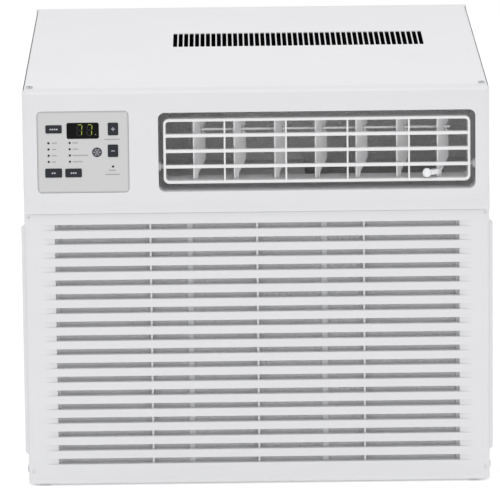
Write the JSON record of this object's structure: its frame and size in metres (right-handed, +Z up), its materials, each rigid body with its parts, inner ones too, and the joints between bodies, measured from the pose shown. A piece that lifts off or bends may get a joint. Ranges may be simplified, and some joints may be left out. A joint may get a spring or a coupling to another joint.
{
  "type": "window air conditioner",
  "caption": "Room air conditioner for a window: cabinet with a slide-out chassis, tilting louver grid with linked vanes, hinged inlet grille, push buttons and a twin-ended fan motor.",
  "frame": {"origin": "on the standing surface, under the middle of the whole unit", "axes": "+X to the right as seen from the room, +Y from the room to the outdoors, +Z up"},
  "size_m": [0.57, 0.61, 0.4898],
  "materials": {
    "case_paint": "fine-texture white powder coat",
    "white_plastic": "white ABS, satin moulded",
    "louver_plastic": "white ABS, satin moulded",
    "overlay_film": "grey printed film, satin",
    "key_plastic": "dark blue-grey keys, satin",
    "knob_plastic": "white, glossy",
    "lens_plastic": "smoked black window",
    "light_plastic": "smoked light pipe",
    "board_laminate": "green solder mask",
    "display_plastic": "black moulded block",
    "filter_plastic": "light grey moulded frame",
    "filter_weave": "fine woven white nylon net",
    "galvanised_steel": "zinc-coated sheet with a fine spangle",
    "black_paint": "semi-gloss black enamel",
    "motor_steel": "zinc-plated motor shell",
    "shaft_steel": "ground bright steel",
    "screw_steel": "zinc-plated pan heads",
    "fin_aluminium": "rolled foil fins",
    "copper": "drawn copper, slightly tarnished",
    "duct_foam": "expanded polystyrene beads",
    "scroll_foam": "expanded polystyrene beads",
    "wheel_plastic": "black glass-filled plastic",
    "shroud_plastic": "dark grey moulded plastic",
    "black_rubber": "matt moulded rubber",
    "capacitor_can": "drawn aluminium can",
    "runner_plastic": "natural slippery plastic"
  },
  "bodies": {
    "cabinet": {"cabinet_wrap": "case_paint", "cabinet_base": "galvanised_steel", "slide_rails": "runner_plastic", "rear_guard": "case_paint", "cabinet_screws": "screw_steel", "cord_grommet": "black_rubber"},
    "chassis": {"base_pan": "galvanised_steel", "drain_plug": "black_rubber", "bulkhead": "galvanised_steel", "evaporator_fins": "fin_aluminium", "evaporator_end_plates": "galvanised_steel", "evaporator_tubes": "copper", "condenser_fins": "fin_aluminium", "condenser_end_plates": "galvanised_steel", "condenser_tubes": "copper", "blower_scroll": "scroll_foam", "discharge_duct": "duct_foam", "condenser_shroud": "shroud_plastic", "fan_motor": "motor_steel", "motor_bracket": "galvanised_steel", "compressor": "black_paint", "compressor_mounts": "black_rubber", "accumulator": "black_paint", "suction_line": "copper", "hot_gas_line": "copper", "capillary_tube": "copper", "filter_drier": "copper", "control_box": "galvanised_steel", "run_capacitor": "capacitor_can", "control_board": "board_laminate", "display_module": "display_plastic", "display_lens": "lens_plastic", "indicator_lights": "light_plastic", "overlay_panel": "overlay_film", "front_fascia": "white_plastic", "thermistor": "black_rubber"},
    "grille": {"inlet_grille": "white_plastic", "filter_frame": "filter_plastic", "filter_mesh": "filter_weave"},
    "louver": {"louver_frame": "louver_plastic"},
    "vane_1": {"vane_1": "louver_plastic"},
    "vane_2": {"vane_2": "louver_plastic"},
    "vane_3": {"vane_3": "louver_plastic"},
    "vane_4": {"vane_4": "louver_plastic"},
    "vane_5": {"vane_5": "louver_plastic"},
    "vane_6": {"vane_6": "louver_plastic"},
    "vane_7": {"vane_7": "louver_plastic", "lever_knob": "knob_plastic"},
    "link": {"vane_link": "louver_plastic"},
    "power_button": {"power_button": "key_plastic"},
    "fan_button": {"fan_button": "key_plastic"},
    "mode_button": {"mode_button": "key_plastic"},
    "plus_button": {"plus_button": "key_plastic"},
    "minus_button": {"minus_button": "key_plastic"},
    "rotor": {"motor_shaft": "shaft_steel", "blower_wheel": "wheel_plastic", "condenser_fan": "wheel_plastic"}
  },
  "joints": [
    {"name": "chassis_slide", "type": "slide", "parent": "cabinet", "child": "chassis", "axis": [0, -1, 0], "range_m": [0, 0.42]},
    {"name": "grille_tilt", "type": "hinge", "parent": "chassis", "child": "grille", "pos_m": [0, -0.294, 0.009], "axis": [1, 0, 0], "range_deg": [0, 35]},
    {"name": "louver_tilt", "type": "hinge", "parent": "chassis", "child": "louver", "pos_m": [0.073, -0.283, 0.393], "axis": [1, 0, 0], "range_deg": [-15, 15]},
    {"name": "rotor_spin", "type": "hinge", "parent": "chassis", "child": "rotor", "pos_m": [0.06, 0, 0.184], "axis": [0, 1, 0], "continuous": true},
    {"name": "vane_1_swing", "type": "hinge", "parent": "louver", "child": "vane_1", "pos_m": [-0.0717, -0.283, 0.4155], "axis": [0, 0, 1], "range_deg": [-6, 66]},
    {"name": "vane_2_swing", "type": "hinge", "parent": "louver", "child": "vane_2", "pos_m": [-0.0227, -0.283, 0.4155], "axis": [0, 0, 1], "range_deg": [-6, 66]},
    {"name": "vane_3_swing", "type": "hinge", "parent": "louver", "child": "vane_3", "pos_m": [0.0263, -0.283, 0.4155], "axis": [0, 0, 1], "range_deg": [-6, 66]},
    {"name": "vane_4_swing", "type": "hinge", "parent": "louver", "child": "vane_4", "pos_m": [0.0753, -0.283, 0.4155], "axis": [0, 0, 1], "range_deg": [-6, 66]},
    {"name": "vane_5_swing", "type": "hinge", "parent": "louver", "child": "vane_5", "pos_m": [0.1243, -0.283, 0.4155], "axis": [0, 0, 1], "range_deg": [-6, 66]},
    {"name": "vane_6_swing", "type": "hinge", "parent": "louver", "child": "vane_6", "pos_m": [0.1733, -0.283, 0.4155], "axis": [0, 0, 1], "range_deg": [-6, 66]},
    {"name": "vane_7_swing", "type": "hinge", "parent": "louver", "child": "vane_7", "pos_m": [0.2223, -0.283, 0.4155], "axis": [0, 0, 1], "range_deg": [-6, 66]},
    {"name": "link_swivel", "type": "hinge", "parent": "vane_7", "child": "link", "pos_m": [0.22951, -0.271, 0.4389], "axis": [0, 0, 1], "range_deg": [-66, 6]},
    {"name": "power_button_press", "type": "slide", "parent": "chassis", "child": "power_button", "axis": [0, 1, 0], "range_m": [0, 0.001], "stiffness_N_per_m": 400},
    {"name": "fan_button_press", "type": "slide", "parent": "chassis", "child": "fan_button", "axis": [0, 1, 0], "range_m": [0, 0.001], "stiffness_N_per_m": 400},
    {"name": "mode_button_press", "type": "slide", "parent": "chassis", "child": "mode_button", "axis": [0, 1, 0], "range_m": [0, 0.001], "stiffness_N_per_m": 400},
    {"name": "plus_button_press", "type": "slide", "parent": "chassis", "child": "plus_button", "axis": [0, 1, 0], "range_m": [0, 0.001], "stiffness_N_per_m": 400},
    {"name": "minus_button_press", "type": "slide", "parent": "chassis", "child": "minus_button", "axis": [0, 1, 0], "range_m": [0, 0.001], "stiffness_N_per_m": 400}
  ],
  "couplings": [
    {"joint": "vane_1_swing", "follows": "vane_7_swing", "ratio": 1},
    {"joint": "vane_2_swing", "follows": "vane_7_swing", "ratio": 1},
    {"joint": "vane_3_swing", "follows": "vane_7_swing", "ratio": 1},
    {"joint": "vane_4_swing", "follows": "vane_7_swing", "ratio": 1},
    {"joint": "vane_5_swing", "follows": "vane_7_swing", "ratio": 1},
    {"joint": "vane_6_swing", "follows": "vane_7_swing", "ratio": 1},
    {"joint": "link_swivel", "follows": "vane_7_swing", "ratio": -1}
  ]
}
